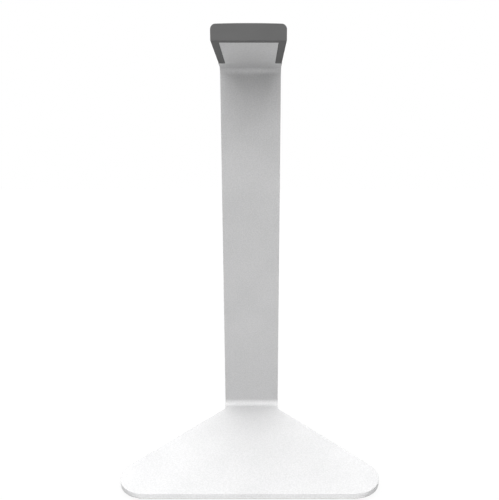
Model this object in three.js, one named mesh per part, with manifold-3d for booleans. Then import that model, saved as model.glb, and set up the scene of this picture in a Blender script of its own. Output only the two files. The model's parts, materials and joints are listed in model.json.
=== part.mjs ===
// Headphone stand. One bent aluminium plate is the base, the upright and the arm; a soft
// sleeve on the arm carries the headband, and four stick-on feet keep the base off the desk.
// Millimetres, +Z up, front towards -Y. The origin is on the desk, under the middle of the
// stand's bounding box.

import * as THREE from 'three';
import { mergeVertices } from 'three/addons/utils/BufferGeometryUtils.js';
import Module from 'manifold-3d';

// ---- Driving dimensions ----

const overallHeight = 253.5;

const plateThickness = 3.25;
const bendRadius = 4.25; // on the inside of both bends
const stripWidth = 40; // upright and arm

const baseWidth = 151.5;
const baseLength = 104.25; // front edge to the upright's front face
const baseCornerRadius = 17.5;
const flankSpread = 0.76; // how much a flank moves outwards for each millimetre forwards
const neckFilletRadius = 2.5;

const coverWidth = 39.5;
const coverHeight = 8.375;
const coverReach = 68.375; // upright's front face to the cover's front face
const coverSetback = 14.125; // upright's front face to the cover's open end
const coverTopRadius = 2.75;
const coverRoof = 4.75;
const coverEndWall = 1.75;
const lipWidth = 4; // how far the lips turn in under the arm
const lipThickness = 1.5;

const tongueWidth = 36;
const tongueCornerRadius = 4;
const slideClearance = 0.25; // round the tongue and behind the cover
const lipClearance = 0.125; // above the lips and beside them

const coverTapeThickness = 0.25;
const coverTapeWidth = 32;
const coverTapeLength = 44;
const coverTapeCornerRadius = 2;

const footDiameter = 12;
const footHeight = 1.5;
const footEdgeRadius = 0.5;
const footTapeDiameter = 11;
const footTapeThickness = 0.25;
const rearFootSpacing = 26;
const rearFootSetback = 12; // upright's front face to the rear feet's centres

// ---- Places worked out from them ----

const uprightFrontY = (baseLength - plateThickness) / 2;
const uprightBackY = uprightFrontY + plateThickness;
const baseFrontY = uprightFrontY - baseLength;

const baseBottomZ = footHeight + footTapeThickness;
const baseTopZ = baseBottomZ + plateThickness;
const armTopZ = overallHeight - coverRoof - coverTapeThickness;
const armBottomZ = armTopZ - plateThickness;

const coverFrontY = uprightFrontY - coverReach;
const coverBackY = uprightFrontY - coverSetback;
const coverBottomZ = overallHeight - coverHeight;
const lipTopZ = coverBottomZ + lipThickness;

const shoulderY = coverBackY + slideClearance;
const tongueTipY = coverFrontY + coverEndWall + slideClearance;
const windowHalfWidth = coverWidth / 2 - lipWidth;
const windowFrontY = coverFrontY + lipWidth;

const baseCornerX = baseWidth / 2 - baseCornerRadius; // centre of a front corner's arc
const baseCornerY = baseFrontY + baseCornerRadius;
const rearFootY = uprightFrontY - rearFootSetback;

const cornerSegments = 10; // straight steps in each rounded corner
const roundSegments = 48;
const overlap = 4; // how far joined shapes reach into each other

// ---- Outlines ----

// The points of one outline corner, rounded to a radius where it has one.
function cornerPoints(before, corner, after, radius) {
  if (radius === 0) return [corner];
  const toBefore = before.clone().sub(corner).normalize();
  const toAfter = after.clone().sub(corner).normalize();
  const halfAngle = Math.acos(toBefore.dot(toAfter)) / 2;
  const bisector = toBefore.clone().add(toAfter).normalize();
  const centre = bisector.multiplyScalar(radius / Math.sin(halfAngle)).add(corner);
  const tangentLength = radius / Math.tan(halfAngle);
  const start = toBefore.clone().multiplyScalar(tangentLength).add(corner).sub(centre);
  const end = toAfter.clone().multiplyScalar(tangentLength).add(corner).sub(centre);
  const clockwise = toBefore.cross(toAfter) > 0;
  const arc = new THREE.ArcCurve(centre.x, centre.y, radius, start.angle(), end.angle(), clockwise);
  return arc.getPoints(cornerSegments);
}

// A closed outline through corners of { x, y, radius }.
function roundedOutline(corners) {
  const points = corners.map(({ x, y }) => new THREE.Vector2(x, y));
  return new THREE.Shape(corners.flatMap(({ radius = 0 }, i) => (
    cornerPoints(points.at(i - 1), points[i], points[(i + 1) % points.length], radius)
  )));
}

// A rectangle from (left, near) to (right, far) whose two near corners are rounded.
function roundedNearEnd(halfWidth, near, far, radius) {
  return roundedOutline([
    { x: -halfWidth, y: far },
    { x: -halfWidth, y: near, radius },
    { x: halfWidth, y: near, radius },
    { x: halfWidth, y: far },
  ]);
}

// The strip seen from the side, drawn in Y and Z: base stub, bend, upright, bend, arm.
function stripProfile() {
  const stubY = uprightFrontY - bendRadius - overlap;
  const outerBendRadius = bendRadius + plateThickness;
  return roundedOutline([
    { x: stubY, y: baseBottomZ },
    { x: uprightBackY, y: baseBottomZ, radius: outerBendRadius },
    { x: uprightBackY, y: armTopZ, radius: outerBendRadius },
    { x: shoulderY, y: armTopZ },
    { x: shoulderY, y: armBottomZ },
    { x: uprightFrontY, y: armBottomZ, radius: bendRadius },
    { x: uprightFrontY, y: baseTopZ, radius: bendRadius },
    { x: stubY, y: baseTopZ },
  ]);
}

// The base seen from above: a neck as wide as the strip that flares to two round front corners.
function basePlan() {
  const cornerDepth = baseLength - baseCornerRadius;
  const flankOffset = baseCornerRadius * Math.hypot(1, flankSpread);
  const halfWidthAtUpright = baseCornerX + flankOffset - flankSpread * cornerDepth;
  const neckDepth = (stripWidth / 2 - halfWidthAtUpright) / flankSpread;
  const frontHalfWidth = halfWidthAtUpright + flankSpread * baseLength;
  const neckBackY = uprightFrontY - bendRadius;
  const neckFrontY = uprightFrontY - neckDepth;
  return roundedOutline([
    { x: stripWidth / 2, y: neckBackY },
    { x: -stripWidth / 2, y: neckBackY },
    { x: -stripWidth / 2, y: neckFrontY, radius: neckFilletRadius },
    { x: -frontHalfWidth, y: baseFrontY, radius: baseCornerRadius },
    { x: frontHalfWidth, y: baseFrontY, radius: baseCornerRadius },
    { x: stripWidth / 2, y: neckFrontY, radius: neckFilletRadius },
  ]);
}

// The cover seen from the front, drawn in X and Z.
function coverSection() {
  const halfWidth = coverWidth / 2;
  return roundedOutline([
    { x: -halfWidth, y: coverBottomZ },
    { x: halfWidth, y: coverBottomZ },
    { x: halfWidth, y: overallHeight, radius: coverTopRadius },
    { x: -halfWidth, y: overallHeight, radius: coverTopRadius },
  ]);
}

// ---- Extruding and joining ----

function extrude(outline, depth) {
  return new THREE.ExtrudeGeometry(outline, { depth, bevelEnabled: false });
}

// A plan outline in X and Y, standing from one height to another.
function upwards(outline, bottomZ, topZ) {
  return extrude(outline, topZ - bottomZ).translate(0, 0, bottomZ);
}

// An outline drawn in Y and Z, centred across X.
function sideways(outline, width) {
  const yz = new THREE.Matrix4().makeBasis(
    new THREE.Vector3(0, 1, 0),
    new THREE.Vector3(0, 0, 1),
    new THREE.Vector3(1, 0, 0),
  );
  return extrude(outline, width).applyMatrix4(yz).translate(-width / 2, 0, 0);
}

// An outline drawn in X and Z, running forwards from backY to frontY.
function forwards(outline, backY, frontY) {
  const xz = new THREE.Matrix4().makeBasis(
    new THREE.Vector3(1, 0, 0),
    new THREE.Vector3(0, 0, 1),
    new THREE.Vector3(0, -1, 0),
  );
  return extrude(outline, backY - frontY).applyMatrix4(xz).translate(0, backY, 0);
}

const wasm = await Module();
wasm.setup();

function toSolid(geometry) {
  geometry.deleteAttribute('normal');
  geometry.deleteAttribute('uv');
  const welded = mergeVertices(geometry);
  return new wasm.Manifold(new wasm.Mesh({
    numProp: 3,
    vertProperties: welded.attributes.position.array,
    triVerts: new Uint32Array(welded.index.array),
  }));
}

function toGeometry(solid) {
  const { numProp, vertProperties, triVerts } = solid.getMesh();
  const geometry = new THREE.BufferGeometry();
  geometry.setAttribute('position', new THREE.BufferAttribute(vertProperties, numProp));
  geometry.setIndex(new THREE.BufferAttribute(triVerts, 1));
  geometry.computeVertexNormals();
  return geometry;
}

// ---- Pieces ----

// The step milled round the tongue's underside, which the cover's lips fill.
function lipStep() {
  const reach = roundedNearEnd(tongueWidth / 2 + overlap, tongueTipY - overlap, shoulderY, 0);
  const islandHalfWidth = windowHalfWidth - lipClearance;
  const islandFrontY = windowFrontY + lipClearance;
  const island = roundedNearEnd(islandHalfWidth, islandFrontY, shoulderY + overlap, 0);
  const stepTopZ = lipTopZ + lipClearance;
  const around = toSolid(upwards(reach, armBottomZ - overlap, stepTopZ));
  return around.subtract(toSolid(upwards(island, armBottomZ - overlap, armTopZ)));
}

// The bent plate, with a narrower tongue on the arm so that the cover sits almost flush with the strip.
function frameGeometry() {
  const tongue = roundedNearEnd(tongueWidth / 2, tongueTipY, shoulderY + overlap, tongueCornerRadius);
  const strip = toSolid(sideways(stripProfile(), stripWidth));
  const base = toSolid(upwards(basePlan(), baseBottomZ, baseTopZ));
  const arm = toSolid(upwards(tongue, armBottomZ, armTopZ));
  return toGeometry(strip.add(base).add(arm).subtract(lipStep()));
}

// The sleeve: closed at the front, open at the back, with lips that hook under the tongue.
function coverGeometry() {
  const cavityHalfWidth = tongueWidth / 2 + slideClearance;
  const cavityRadius = tongueCornerRadius + slideClearance;
  const cavityFrontY = coverFrontY + coverEndWall;
  const pastBackY = coverBackY + overlap;
  const cavity = roundedNearEnd(cavityHalfWidth, cavityFrontY, pastBackY, cavityRadius);
  const window = roundedNearEnd(windowHalfWidth, windowFrontY, pastBackY, 0);
  const block = toSolid(forwards(coverSection(), coverBackY, coverFrontY));
  const pocket = toSolid(upwards(cavity, lipTopZ, armTopZ + coverTapeThickness));
  const mouth = toSolid(upwards(window, coverBottomZ - overlap, armTopZ));
  return toGeometry(block.subtract(pocket).subtract(mouth));
}

function coverTapeGeometry() {
  const halfWidth = coverTapeWidth / 2;
  const halfLength = coverTapeLength / 2;
  const radius = coverTapeCornerRadius;
  const outline = roundedOutline([
    { x: -halfWidth, y: -halfLength, radius },
    { x: halfWidth, y: -halfLength, radius },
    { x: halfWidth, y: halfLength, radius },
    { x: -halfWidth, y: halfLength, radius },
  ]);
  return upwards(outline, 0, coverTapeThickness);
}

// A round foot with its lower edge rounded over, standing on its own origin.
function footGeometry() {
  const radius = footDiameter / 2;
  const profile = new THREE.Path();
  profile.moveTo(0, 0);
  profile.lineTo(radius - footEdgeRadius, 0);
  profile.absarc(radius - footEdgeRadius, footEdgeRadius, footEdgeRadius, -Math.PI / 2, 0, false);
  profile.lineTo(radius, footHeight);
  profile.lineTo(0, footHeight);
  return new THREE.LatheGeometry(profile.getPoints(2), roundSegments).rotateX(Math.PI / 2);
}

function footTapeGeometry() {
  const radius = footTapeDiameter / 2;
  const disc = new THREE.CylinderGeometry(radius, radius, footTapeThickness, roundSegments);
  return disc.rotateX(Math.PI / 2).translate(0, 0, footTapeThickness / 2);
}

// ---- Materials ----

const satinAluminium = { color: 0xdddddf, roughness: 0.5, metalness: 0.85 };
const greySilicone = { color: 0x6e6e6e, roughness: 0.85, metalness: 0 };
const greyRubber = { color: 0x5a5a5c, roughness: 0.9, metalness: 0 };
const clearAdhesive = { color: 0xe4e4e0, roughness: 0.6, metalness: 0 };

function piece(name, geometry, finish) {
  const mesh = new THREE.Mesh(geometry, new THREE.MeshStandardMaterial(finish));
  mesh.name = name;
  return mesh;
}

// ---- Assembly ----

const stand = new THREE.Group();
stand.add(piece('frame', frameGeometry(), satinAluminium));
stand.add(piece('head_cover', coverGeometry(), greySilicone));

const coverTape = piece('cover_tape', coverTapeGeometry(), clearAdhesive);
coverTape.position.set(0, (tongueTipY + shoulderY) / 2, armTopZ);
stand.add(coverTape);

const footPlaces = {
  front_left: [-baseCornerX, baseCornerY],
  front_right: [baseCornerX, baseCornerY],
  rear_left: [-rearFootSpacing / 2, rearFootY],
  rear_right: [rearFootSpacing / 2, rearFootY],
};
for (const [place, [x, y]] of Object.entries(footPlaces)) {
  const foot = new THREE.Group();
  foot.position.set(x, y, 0);
  foot.add(piece(`foot_${place}`, footGeometry(), greyRubber));
  const tape = piece(`foot_tape_${place}`, footTapeGeometry(), clearAdhesive);
  tape.position.z = footHeight;
  foot.add(tape);
  stand.add(foot);
}

export default stand;
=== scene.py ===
"""Headphone stand: a bent aluminium plate with a silicone sleeve on its arm and four rubber feet.

Everything is in metres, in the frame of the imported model: +Z up, the front towards -Y, the origin
on the floor under the middle of the stand.
"""

import json
import math

import bmesh
import bpy
from mathutils import Matrix, Vector


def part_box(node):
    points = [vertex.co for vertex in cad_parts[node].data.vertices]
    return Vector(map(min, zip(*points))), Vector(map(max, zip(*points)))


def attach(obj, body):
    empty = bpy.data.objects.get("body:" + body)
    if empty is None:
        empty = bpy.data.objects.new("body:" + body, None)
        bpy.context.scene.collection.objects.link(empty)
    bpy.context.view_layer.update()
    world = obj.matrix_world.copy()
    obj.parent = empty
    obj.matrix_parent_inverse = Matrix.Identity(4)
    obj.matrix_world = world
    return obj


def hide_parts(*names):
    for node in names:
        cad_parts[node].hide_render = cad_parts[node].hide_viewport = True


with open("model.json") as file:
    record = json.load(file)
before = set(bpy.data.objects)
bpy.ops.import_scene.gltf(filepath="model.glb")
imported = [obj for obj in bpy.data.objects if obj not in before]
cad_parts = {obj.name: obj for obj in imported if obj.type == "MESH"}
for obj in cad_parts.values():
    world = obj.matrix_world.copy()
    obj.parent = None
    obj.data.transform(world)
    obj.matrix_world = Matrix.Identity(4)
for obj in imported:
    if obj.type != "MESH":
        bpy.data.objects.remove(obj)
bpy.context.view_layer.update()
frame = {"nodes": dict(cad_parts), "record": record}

MM = 0.001

# ---- Driving dimensions ----

PLATE = 3.25 * MM
BEND_RADIUS = 4.25 * MM  # on the inside of both bends
STRIP_HALF = 20 * MM  # half the width of the upright and the arm
TONGUE_HALF = 18 * MM
TONGUE_CORNER = 4 * MM
SHOULDER_CORNER = 0.8 * MM
BASE_CORNER = 17.5 * MM
FLANK_SPREAD = 0.76  # how far a flank moves outwards for each metre forwards
NECK_FILLET = 2.5 * MM
PLATE_EDGE = 0.25 * MM  # rounding of the plate's edges

COVER_TOP_RADIUS = 2.75 * MM
COVER_CROWN_RADIUS = 600 * MM
COVER_END_WALL = 1.75 * MM
COVER_LIP = 4 * MM
LIP_THICKNESS = 1.5 * MM
COVER_EDGE = 0.2 * MM  # rounding of the sleeve's edges
SLIDE_GAP = 0.25 * MM  # between the tongue and the cover's side walls
LIP_GAP = 0.125 * MM  # above the lips and beside them
WINDOW_CORNER = 0.6 * MM

FOOT_EDGE = 0.5 * MM

# The sky's strength is DOME_LEVEL plus DOME_TILT times the direction, held between 0 and DOME_PEAK.
DOME_LEVEL = -0.08
DOME_TILT = (-0.6, -0.2, 4.2)
DOME_PEAK = 2.7

CARD_WIDTH = 240 * MM
CARD_DEPTH = 15 * MM
CARD_OFFSET = 30 * MM  # to the right, so that it also lights the right front corner
CARD_GAP = 1 * MM  # between the base and the card
CARD_HEIGHT = 0.5 * MM
CARD_POWER = 0.013

FLOOR_REACH = 4.0  # from its middle to each edge
FLOOR_WHITENESS = 0.9  # how much of the floor's look is plain white; the rest is lit and shadowed
FLOOR_GLOW = 1.03  # the strength of that white, high enough to hide the horizon

CAMERA_SENSOR = 36  # millimetres, like the lens
CAMERA_LENS = 34.28
CAMERA_SHIFT = (-0.0163, 0.06)
CAMERA_RIGHT = 4.68 * MM
CAMERA_DISTANCE = 334.9 * MM  # in front of the upright
CAMERA_HEIGHT = 175.8 * MM  # above the base
CAMERA_TILT = 13.11  # degrees down from level
CAMERA_NEAR = 0.01

SAME_POINT = 1e-6  # points closer than this are one point

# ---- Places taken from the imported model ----

FRAME_LOW, FRAME_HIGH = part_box("frame")
COVER_LOW, COVER_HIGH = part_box("head_cover")
TAPE_LOW, TAPE_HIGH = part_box("cover_tape")

BASE_TOP = FRAME_LOW.z + PLATE
UPRIGHT_FRONT = FRAME_HIGH.y - PLATE
ARM_BOTTOM = FRAME_HIGH.z - PLATE
SHOULDER = COVER_HIGH.y + SLIDE_GAP
TONGUE_TIP = COVER_LOW.y + COVER_END_WALL + SLIDE_GAP
LIP_TOP = COVER_LOW.z + LIP_THICKNESS
WINDOW_HALF = COVER_HIGH.x - COVER_LIP
WINDOW_FRONT = COVER_LOW.y + COVER_LIP


# ---- Outlines and solids ----


def rounded_outline(corners, inset=0.0, steps=12):
    """Points of a closed anticlockwise outline with round corners, inset by a distance.

    Each corner is (x, y, radius). The same corners give the same number of points at any inset.
    """
    points = []
    for i, (x, y, radius) in enumerate(corners):
        corner = Vector((x, y))
        arriving = (corner - Vector(corners[i - 1][:2])).normalized()
        leaving = (Vector(corners[(i + 1) % len(corners)][:2]) - corner).normalized()
        inward = Vector((-arriving.y, arriving.x))
        next_inward = Vector((-leaving.y, leaving.x))
        corner += inset * (inward + next_inward) / (1 + inward.dot(next_inward))
        turn = math.atan2(arriving.cross(leaving), arriving.dot(leaving))
        side = math.copysign(1, turn)
        bend = radius - side * inset
        centre = corner - arriving * bend * math.tan(abs(turn) / 2) + inward * side * bend
        for step in range(steps + 1):
            spoke = inward * -side * bend
            spoke.rotate(Matrix.Rotation(turn * step / steps, 2))
            points.append(centre + spoke)
    return points


def distinct(points):
    """The points without those that lie on the one before."""
    return [p for i, p in enumerate(points) if (p - points[i - 1]).length > SAME_POINT]


def near_end(half, near, far, radius):
    """A plan outline from far to near whose two near corners are round, anticlockwise."""
    corners = [(-half, far, 0.0), (-half, near, radius), (half, near, radius), (half, far, 0.0)]
    return distinct(rounded_outline(corners))


def edge_rings(thickness, edge, steps):
    """(inset, height) pairs round a slab's rounded edge, from its lower face to its upper face."""
    lower = []
    for step in range(steps + 1):
        angle = math.pi / 2 * step / steps
        inset = edge * (1 - math.sin(angle))
        height = thickness / 2 - edge * (1 - math.cos(angle))
        lower.append((inset, -height))
    return lower + [(inset, -height) for inset, height in reversed(lower)]


def loft(bm, rings):
    """A closed solid through rings of vertices, capped at its first and last ring."""
    for ring, above in zip(rings, rings[1:]):
        for i in range(len(ring)):
            j = (i + 1) % len(ring)
            bm.faces.new((ring[i], ring[j], above[j], above[i]))
    bm.faces.new(reversed(rings[0]))
    bm.faces.new(rings[-1])


def upwards(u, v, w):
    """Places an outline drawn in X and Y, with its depth along Z."""
    return u, v, w


def forwards(u, v, w):
    """Places an outline drawn in X and Z, with its depth along Y."""
    return u, w, v


def prism(outline, low, high, place):
    """A closed bmesh prism: place(u, v, w) puts outline point (u, v) at depth w into space."""
    bm = bmesh.new()
    rings = [[bm.verts.new(place(u, v, w)) for u, v in outline] for w in (low, high)]
    loft(bm, rings)
    bmesh.ops.recalc_face_normals(bm, faces=bm.faces)
    return bm


def to_object(bm, name):
    mesh = bpy.data.meshes.new(name)
    bm.to_mesh(mesh)
    bm.free()
    piece = bpy.data.objects.new(name, mesh)
    bpy.context.scene.collection.objects.link(piece)
    return piece


def apply_modifiers(piece):
    """Replaces the piece's mesh with what its modifiers make of it."""
    graph = bpy.context.evaluated_depsgraph_get()
    mesh = bpy.data.meshes.new_from_object(piece.evaluated_get(graph))
    piece.modifiers.clear()
    piece.data = mesh


def cut(piece, tool):
    """Takes one solid out of another, and removes the tool."""
    boolean = piece.modifiers.new("cut", "BOOLEAN")
    boolean.operation = "DIFFERENCE"
    boolean.solver = "EXACT"
    boolean.object = tool
    apply_modifiers(piece)
    bpy.data.objects.remove(tool)


def shade(piece):
    """Smooth shading whose normals follow the large faces, so that flat faces look flat."""
    for face in piece.data.polygons:
        face.use_smooth = True
    normals = piece.modifiers.new("normals", "WEIGHTED_NORMAL")
    normals.weight = 100
    apply_modifiers(piece)


def lathe(name, profile, segments=72):
    """A solid turned about the Z axis from a profile of (radius, height), axis to axis."""
    bm = bmesh.new()
    rings = []
    for radius, height in profile[1:-1]:
        ring = []
        for i in range(segments):
            angle = 2 * math.pi * i / segments
            ring.append(bm.verts.new((radius * math.cos(angle), radius * math.sin(angle), height)))
        rings.append(ring)
    loft(bm, rings)
    return to_object(bm, name)


# ---- The bent plate ----


def plate_legs():
    """The plate's straight legs along its middle surface, from the base's front edge."""
    base = UPRIGHT_FRONT - BEND_RADIUS - FRAME_LOW.y
    upright = ARM_BOTTOM - BASE_TOP - 2 * BEND_RADIUS
    arm = UPRIGHT_FRONT - BEND_RADIUS - TONGUE_TIP
    return base, upright, arm


def bend_length():
    """The length of a bend along the plate's middle surface."""
    return (BEND_RADIUS + PLATE / 2) * math.pi / 2


def fold(point):
    """Folds a point of the flat plate (across, along, out of the plate) into the stand."""
    base, upright, arm = plate_legs()
    middle = BEND_RADIUS + PLATE / 2
    reach = middle - point.z  # from the centre of the bend
    along = point.y - base
    inner_y = UPRIGHT_FRONT - BEND_RADIUS
    if along <= 0:
        return Vector((point.x, inner_y + along, BASE_TOP + BEND_RADIUS - reach))
    if along <= bend_length():
        angle = along / middle
        lower = BASE_TOP + BEND_RADIUS
        return Vector((point.x, inner_y + reach * math.sin(angle), lower - reach * math.cos(angle)))
    along -= bend_length()
    if along <= upright:
        return Vector((point.x, inner_y + reach, BASE_TOP + BEND_RADIUS + along))
    along -= upright
    upper = ARM_BOTTOM - BEND_RADIUS
    if along <= bend_length():
        angle = along / middle
        return Vector((point.x, inner_y + reach * math.cos(angle), upper + reach * math.sin(angle)))
    along -= bend_length()
    return Vector((point.x, inner_y - along, upper + reach))


def flat_plate_corners():
    """The flat plate's outline: across and along, anticlockwise, from the base's front left."""
    base, upright, arm = plate_legs()
    depth = UPRIGHT_FRONT - FRAME_LOW.y
    arc_centre = FRAME_HIGH.x - BASE_CORNER
    flank_offset = BASE_CORNER * math.hypot(1, FLANK_SPREAD)
    flank = arc_centre + flank_offset - FLANK_SPREAD * (depth - BASE_CORNER)
    front_half = flank + FLANK_SPREAD * depth
    neck = depth - (STRIP_HALF - flank) / FLANK_SPREAD
    tip = base + upright + arm + 2 * bend_length()
    shoulder = tip - (SHOULDER - TONGUE_TIP)
    right = [
        (front_half, 0, BASE_CORNER),
        (STRIP_HALF, neck, NECK_FILLET),
        (STRIP_HALF, shoulder, SHOULDER_CORNER),
        (TONGUE_HALF, shoulder, SHOULDER_CORNER),
        (TONGUE_HALF, tip, TONGUE_CORNER),
    ]
    left = [(-x, y, radius) for x, y, radius in reversed(right)]
    return right + left


def fold_lines():
    """Where the flat plate is cut across, so that its faces are short and its bends are round."""
    base, upright, arm = plate_legs()
    flat_step = 8 * MM
    bend_step = 0.4 * MM
    spans = [
        (base, flat_step),
        (bend_length(), bend_step),
        (upright, flat_step),
        (bend_length(), bend_step),
        (arm, flat_step),
    ]
    lines = []
    start = 0.0
    for length, step in spans:
        count = round(length / step)
        lines += [start + length * i / count for i in range(count)]
        start += length
    return lines[1:]


def cut_lip_step(piece):
    """Mills the step round the tongue's underside that the sleeve's lips fill."""
    past = 5 * MM
    reach = near_end(TONGUE_HALF + past, TONGUE_TIP - past, SHOULDER, 0.0)
    island = near_end(WINDOW_HALF - LIP_GAP, WINDOW_FRONT + LIP_GAP, SHOULDER + past, WINDOW_CORNER)
    around = to_object(prism(reach, ARM_BOTTOM - past, LIP_TOP + LIP_GAP, upwards), "around")
    cut(around, to_object(prism(island, ARM_BOTTOM - 2 * past, ARM_BOTTOM + past, upwards), "island"))
    cut(piece, around)


def make_frame():
    """The flat plate, cut across, folded twice, and milled under its tongue."""
    bm = bmesh.new()
    corners = flat_plate_corners()
    rings = []
    for inset, height in edge_rings(PLATE, PLATE_EDGE, steps=4):
        outline = rounded_outline(corners, inset, steps=16)
        rings.append([bm.verts.new((across, along, height)) for across, along in outline])
    loft(bm, rings)
    for line in fold_lines():
        everything = bm.verts[:] + bm.edges[:] + bm.faces[:]
        bmesh.ops.bisect_plane(
            bm, geom=everything, dist=1e-7, plane_co=(0, line, 0), plane_no=(0, 1, 0)
        )
    for vert in bm.verts:
        vert.co = fold(vert.co)
    bmesh.ops.recalc_face_normals(bm, faces=bm.faces)
    piece = to_object(bm, "bent_plate")
    cut_lip_step(piece)
    shade(piece)
    return piece


# ---- The sleeve ----


def cover_section():
    """The sleeve seen from the front, in X and Z, with a slightly crowned top."""
    half = COVER_HIGH.x
    crown_reach = half - COVER_TOP_RADIUS
    slope = crown_reach / COVER_CROWN_RADIUS
    peak = COVER_HIGH.z + crown_reach * slope / 2
    side_top = peak - half * slope
    corners = [
        (-half, COVER_LOW.z, 0.0),
        (half, COVER_LOW.z, 0.0),
        (half, side_top, COVER_TOP_RADIUS),
        (0.0, peak, COVER_CROWN_RADIUS),
        (-half, side_top, COVER_TOP_RADIUS),
    ]
    return distinct(rounded_outline(corners))


def make_cover():
    """A block with a pocket for the tongue, and a window between the lips."""
    past = 5 * MM
    back = COVER_HIGH.y + past
    piece = to_object(prism(cover_section(), COVER_LOW.y, COVER_HIGH.y, forwards), "sleeve")
    pocket = near_end(
        TONGUE_HALF + SLIDE_GAP, COVER_LOW.y + COVER_END_WALL, back, TONGUE_CORNER + SLIDE_GAP
    )
    window = near_end(WINDOW_HALF, WINDOW_FRONT, back, WINDOW_CORNER)
    cut(piece, to_object(prism(pocket, LIP_TOP, TAPE_HIGH.z, upwards), "pocket"))
    cut(piece, to_object(prism(window, COVER_LOW.z - past, TAPE_LOW.z, upwards), "window"))
    bevel = piece.modifiers.new("edges", "BEVEL")
    bevel.width = COVER_EDGE
    bevel.segments = 3
    bevel.limit_method = "ANGLE"
    bevel.angle_limit = math.radians(40)
    bevel.harden_normals = False
    apply_modifiers(piece)
    shade(piece)
    return piece


# ---- Feet ----


def make_foot(node):
    """A round foot with its lower edge rounded over."""
    low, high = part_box(node)
    radius = (high.x - low.x) / 2
    height = high.z - low.z
    profile = [(0.0, 0.0)]
    steps = 6
    for step in range(steps + 1):
        angle = math.pi / 2 * step / steps
        across = radius - FOOT_EDGE * (1 - math.sin(angle))
        profile.append((across, FOOT_EDGE * (1 - math.cos(angle))))
    profile += [(radius, height), (0.0, height)]
    piece = lathe(f"rubber_{node}", profile)
    for vert in piece.data.vertices:
        vert.co += Vector(((low.x + high.x) / 2, (low.y + high.y) / 2, low.z))
    shade(piece)
    return piece


# ---- Materials ----


class Shader:
    """A material's node tree, with short ways to add and join its nodes."""

    def __init__(self, name):
        self.material = bpy.data.materials.new(name)
        self.material.use_nodes = True
        self.nodes = self.material.node_tree.nodes
        self.links = self.material.node_tree.links
        self.surface = self.nodes["Principled BSDF"]
        self.place = self.nodes.new("ShaderNodeTexCoord").outputs["Object"]

    def noise(self, size, detail=2.0, roughness=0.5):
        """Noise whose lumps are about as wide as size, in metres."""
        node = self.nodes.new("ShaderNodeTexNoise")
        node.inputs["Scale"].default_value = 1 / size
        node.inputs["Detail"].default_value = detail
        node.inputs["Roughness"].default_value = roughness
        self.links.new(self.place, node.inputs["Vector"])
        return node.outputs["Fac"]

    def spread(self, value, low, high, dark=0.35, light=0.65):
        """Maps noise between dark and light to the range from low to high."""
        node = self.nodes.new("ShaderNodeMapRange")
        node.inputs["From Min"].default_value = dark
        node.inputs["From Max"].default_value = light
        node.inputs["To Min"].default_value = low
        node.inputs["To Max"].default_value = high
        self.links.new(value, node.inputs["Value"])
        return node.outputs["Result"]

    def tint(self, value, dark, light):
        """A colour between two, chosen by a value from 0 to 1."""
        node = self.nodes.new("ShaderNodeMix")
        node.data_type = "RGBA"
        node.inputs["A"].default_value = (*dark, 1)
        node.inputs["B"].default_value = (*light, 1)
        self.links.new(value, node.inputs["Factor"])
        self.links.new(node.outputs["Result"], self.surface.inputs["Base Color"])

    def bump(self, value, height, under=None):
        """Relief of a height in metres, on top of the relief under it."""
        node = self.nodes.new("ShaderNodeBump")
        node.inputs["Distance"].default_value = height
        self.links.new(value, node.inputs["Height"])
        if under is not None:
            self.links.new(under, node.inputs["Normal"])
        self.links.new(node.outputs["Normal"], self.surface.inputs["Normal"])
        return node.outputs["Normal"]

    def rough(self, value):
        self.links.new(value, self.surface.inputs["Roughness"])

    def set(self, **values):
        for name, value in values.items():
            self.surface.inputs[name.replace("_", " ")].default_value = value


def satin_aluminium():
    """Bead-blasted and anodised: tiny round pits over a very faint mottle."""
    shader = Shader("satin_aluminium")
    shader.set(Metallic=1.0)
    pits = shader.noise(0.35 * MM, detail=3.0, roughness=0.6)
    mottle = shader.noise(0.8 * MM, detail=2.0)
    patches = shader.noise(30 * MM, detail=2.0)
    shader.tint(shader.spread(mottle, 0.0, 1.0), (0.536, 0.536, 0.539), (0.597, 0.597, 0.6))
    shader.rough(shader.spread(patches, 0.73, 0.79))
    fine = shader.bump(pits, 0.012 * MM)
    shader.bump(mottle, 0.01 * MM, under=fine)
    return shader.material


def grey_silicone():
    """Moulded silicone: matte, with the very fine grain of its mould."""
    shader = Shader("grey_silicone")
    shader.set(Metallic=0.0, Specular_IOR_Level=0.1)
    grain = shader.noise(0.25 * MM, detail=2.0)
    patches = shader.noise(14 * MM, detail=3.0)
    shader.tint(shader.spread(patches, 0.0, 1.0), (0.111, 0.111, 0.111), (0.117, 0.117, 0.117))
    shader.rough(shader.spread(patches, 0.85, 0.95))
    shader.bump(grain, 0.006 * MM)
    return shader.material


def grey_rubber():
    shader = Shader("grey_rubber")
    shader.set(Metallic=0.0)
    grain = shader.noise(0.4 * MM, detail=3.0)
    shader.tint(shader.spread(grain, 0.0, 1.0), (0.075, 0.075, 0.077), (0.1, 0.1, 0.103))
    shader.rough(shader.spread(grain, 0.75, 0.9))
    shader.bump(grain, 0.02 * MM)
    return shader.material


def adhesive():
    shader = Shader("adhesive")
    shader.set(Metallic=0.0)
    fibres = shader.noise(0.8 * MM, detail=4.0)
    shader.tint(shader.spread(fibres, 0.0, 1.0), (0.62, 0.62, 0.58), (0.72, 0.72, 0.68))
    shader.rough(shader.spread(fibres, 0.45, 0.6))
    shader.bump(fibres, 0.01 * MM)
    return shader.material


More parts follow.
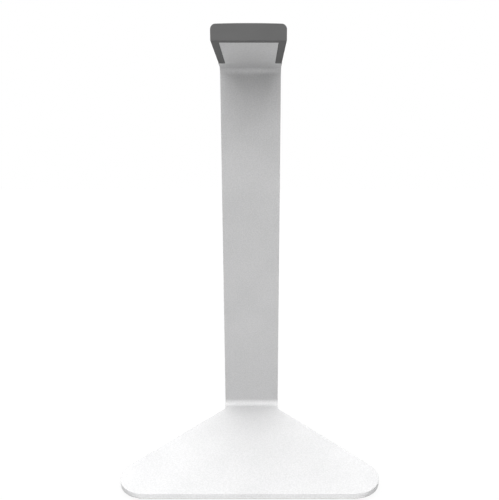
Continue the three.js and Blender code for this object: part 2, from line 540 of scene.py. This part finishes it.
def studio_floor():
    """Grey to bounced light, so that little comes up from below, and almost plain white when seen."""
    shader = Shader("studio_floor")
    shader.set(Metallic=0.0, Specular_IOR_Level=0.0)
    shader.rough(shader.spread(shader.noise(60 * MM), 0.8, 0.9))
    patches = shader.noise(90 * MM)
    shader.tint(shader.spread(patches, 0.0, 1.0), (0.39, 0.39, 0.39), (0.41, 0.41, 0.41))
    white = shader.nodes.new("ShaderNodeEmission")
    white.inputs["Strength"].default_value = FLOOR_GLOW
    mix = shader.nodes.new("ShaderNodeMixShader")
    seen = shader.nodes.new("ShaderNodeMath")
    seen.operation = "MULTIPLY"
    seen.inputs[1].default_value = FLOOR_WHITENESS
    shader.links.new(shader.nodes.new("ShaderNodeLightPath").outputs["Is Camera Ray"], seen.inputs[0])
    shader.links.new(seen.outputs["Value"], mix.inputs["Fac"])
    shader.links.new(shader.surface.outputs["BSDF"], mix.inputs[1])
    shader.links.new(white.outputs["Emission"], mix.inputs[2])
    shader.links.new(mix.outputs["Shader"], shader.nodes["Material Output"].inputs["Surface"])
    return shader.material


def dress(piece, material):
    piece.data.materials.clear()
    piece.data.materials.append(material)


# ---- Camera and studio ----


def make_camera():
    """Level with the upright's upper half, looking down at the base, a little right of centre."""
    data = bpy.data.cameras.new("camera")
    data.sensor_width = CAMERA_SENSOR
    data.lens = CAMERA_LENS
    data.shift_x, data.shift_y = CAMERA_SHIFT
    data.clip_start = CAMERA_NEAR
    camera = bpy.data.objects.new("camera", data)
    camera.location = (CAMERA_RIGHT, UPRIGHT_FRONT - CAMERA_DISTANCE, BASE_TOP + CAMERA_HEIGHT)
    camera.rotation_euler = (math.radians(90 - CAMERA_TILT), 0, 0)
    bpy.context.scene.collection.objects.link(camera)
    bpy.context.scene.camera = camera


def soft_dome():
    """A sky that is brightest overhead, a little brighter on the left, and white to the camera."""
    world = bpy.data.worlds.new("soft_dome")
    world.use_nodes = True
    nodes = world.node_tree.nodes
    links = world.node_tree.links
    direction = nodes.new("ShaderNodeTexCoord").outputs["Generated"]
    tilt = nodes.new("ShaderNodeVectorMath")
    tilt.operation = "DOT_PRODUCT"
    tilt.inputs[1].default_value = DOME_TILT
    links.new(direction, tilt.inputs[0])
    level = nodes.new("ShaderNodeMath")
    level.operation = "ADD"
    level.inputs[1].default_value = DOME_LEVEL
    links.new(tilt.outputs["Value"], level.inputs[0])
    limit = nodes.new("ShaderNodeClamp")
    limit.inputs["Max"].default_value = DOME_PEAK
    links.new(level.outputs["Value"], limit.inputs["Value"])
    seen = nodes.new("ShaderNodeMix")
    links.new(nodes.new("ShaderNodeLightPath").outputs["Is Camera Ray"], seen.inputs["Factor"])
    links.new(limit.outputs["Result"], seen.inputs["A"])
    seen.inputs["B"].default_value = 1.0
    links.new(seen.outputs["Result"], nodes["Background"].inputs["Strength"])
    nodes["Background"].inputs["Color"].default_value = (1, 1, 1, 1)
    return world


def bounce_card():
    """A card lying in front of the base, which lights its front edge."""
    data = bpy.data.lights.new("bounce_card", "AREA")
    data.shape = "RECTANGLE"
    data.size = CARD_WIDTH
    data.size_y = CARD_DEPTH
    data.energy = CARD_POWER
    card = bpy.data.objects.new("bounce_card", data)
    card.location = (CARD_OFFSET, FRAME_LOW.y - CARD_GAP - CARD_DEPTH / 2, CARD_HEIGHT)
    card.rotation_euler = (math.pi, 0, 0)
    bpy.context.scene.collection.objects.link(card)


def make_studio():
    bm = bmesh.new()
    bmesh.ops.create_grid(bm, x_segments=8, y_segments=8, size=FLOOR_REACH)
    floor = to_object(bm, "floor")
    dress(floor, studio_floor())
    bpy.context.scene.world = soft_dome()
    bpy.context.scene.view_settings.view_transform = "Standard"
    bounce_card()


# ---- Assembly ----

make_camera()
make_studio()

looks = {
    "satin_aluminium": satin_aluminium(),
    "grey_silicone": grey_silicone(),
    "grey_rubber": grey_rubber(),
    "adhesive": adhesive(),
}
slots = {entry["node"]: entry["material_slot"] for entry in frame["record"]["subparts"]}


def stand_for(piece, node):
    """Shows the piece in place of its CAD node, with that node's finish."""
    dress(piece, looks[slots[node]])
    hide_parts(node)
    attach(piece, "root")


stand_for(make_frame(), "frame")
stand_for(make_cover(), "head_cover")
for node, slot in slots.items():
    if slot == "adhesive":
        dress(frame["nodes"][node], looks[slot])
    elif slot == "grey_rubber":
        stand_for(make_foot(node), node)
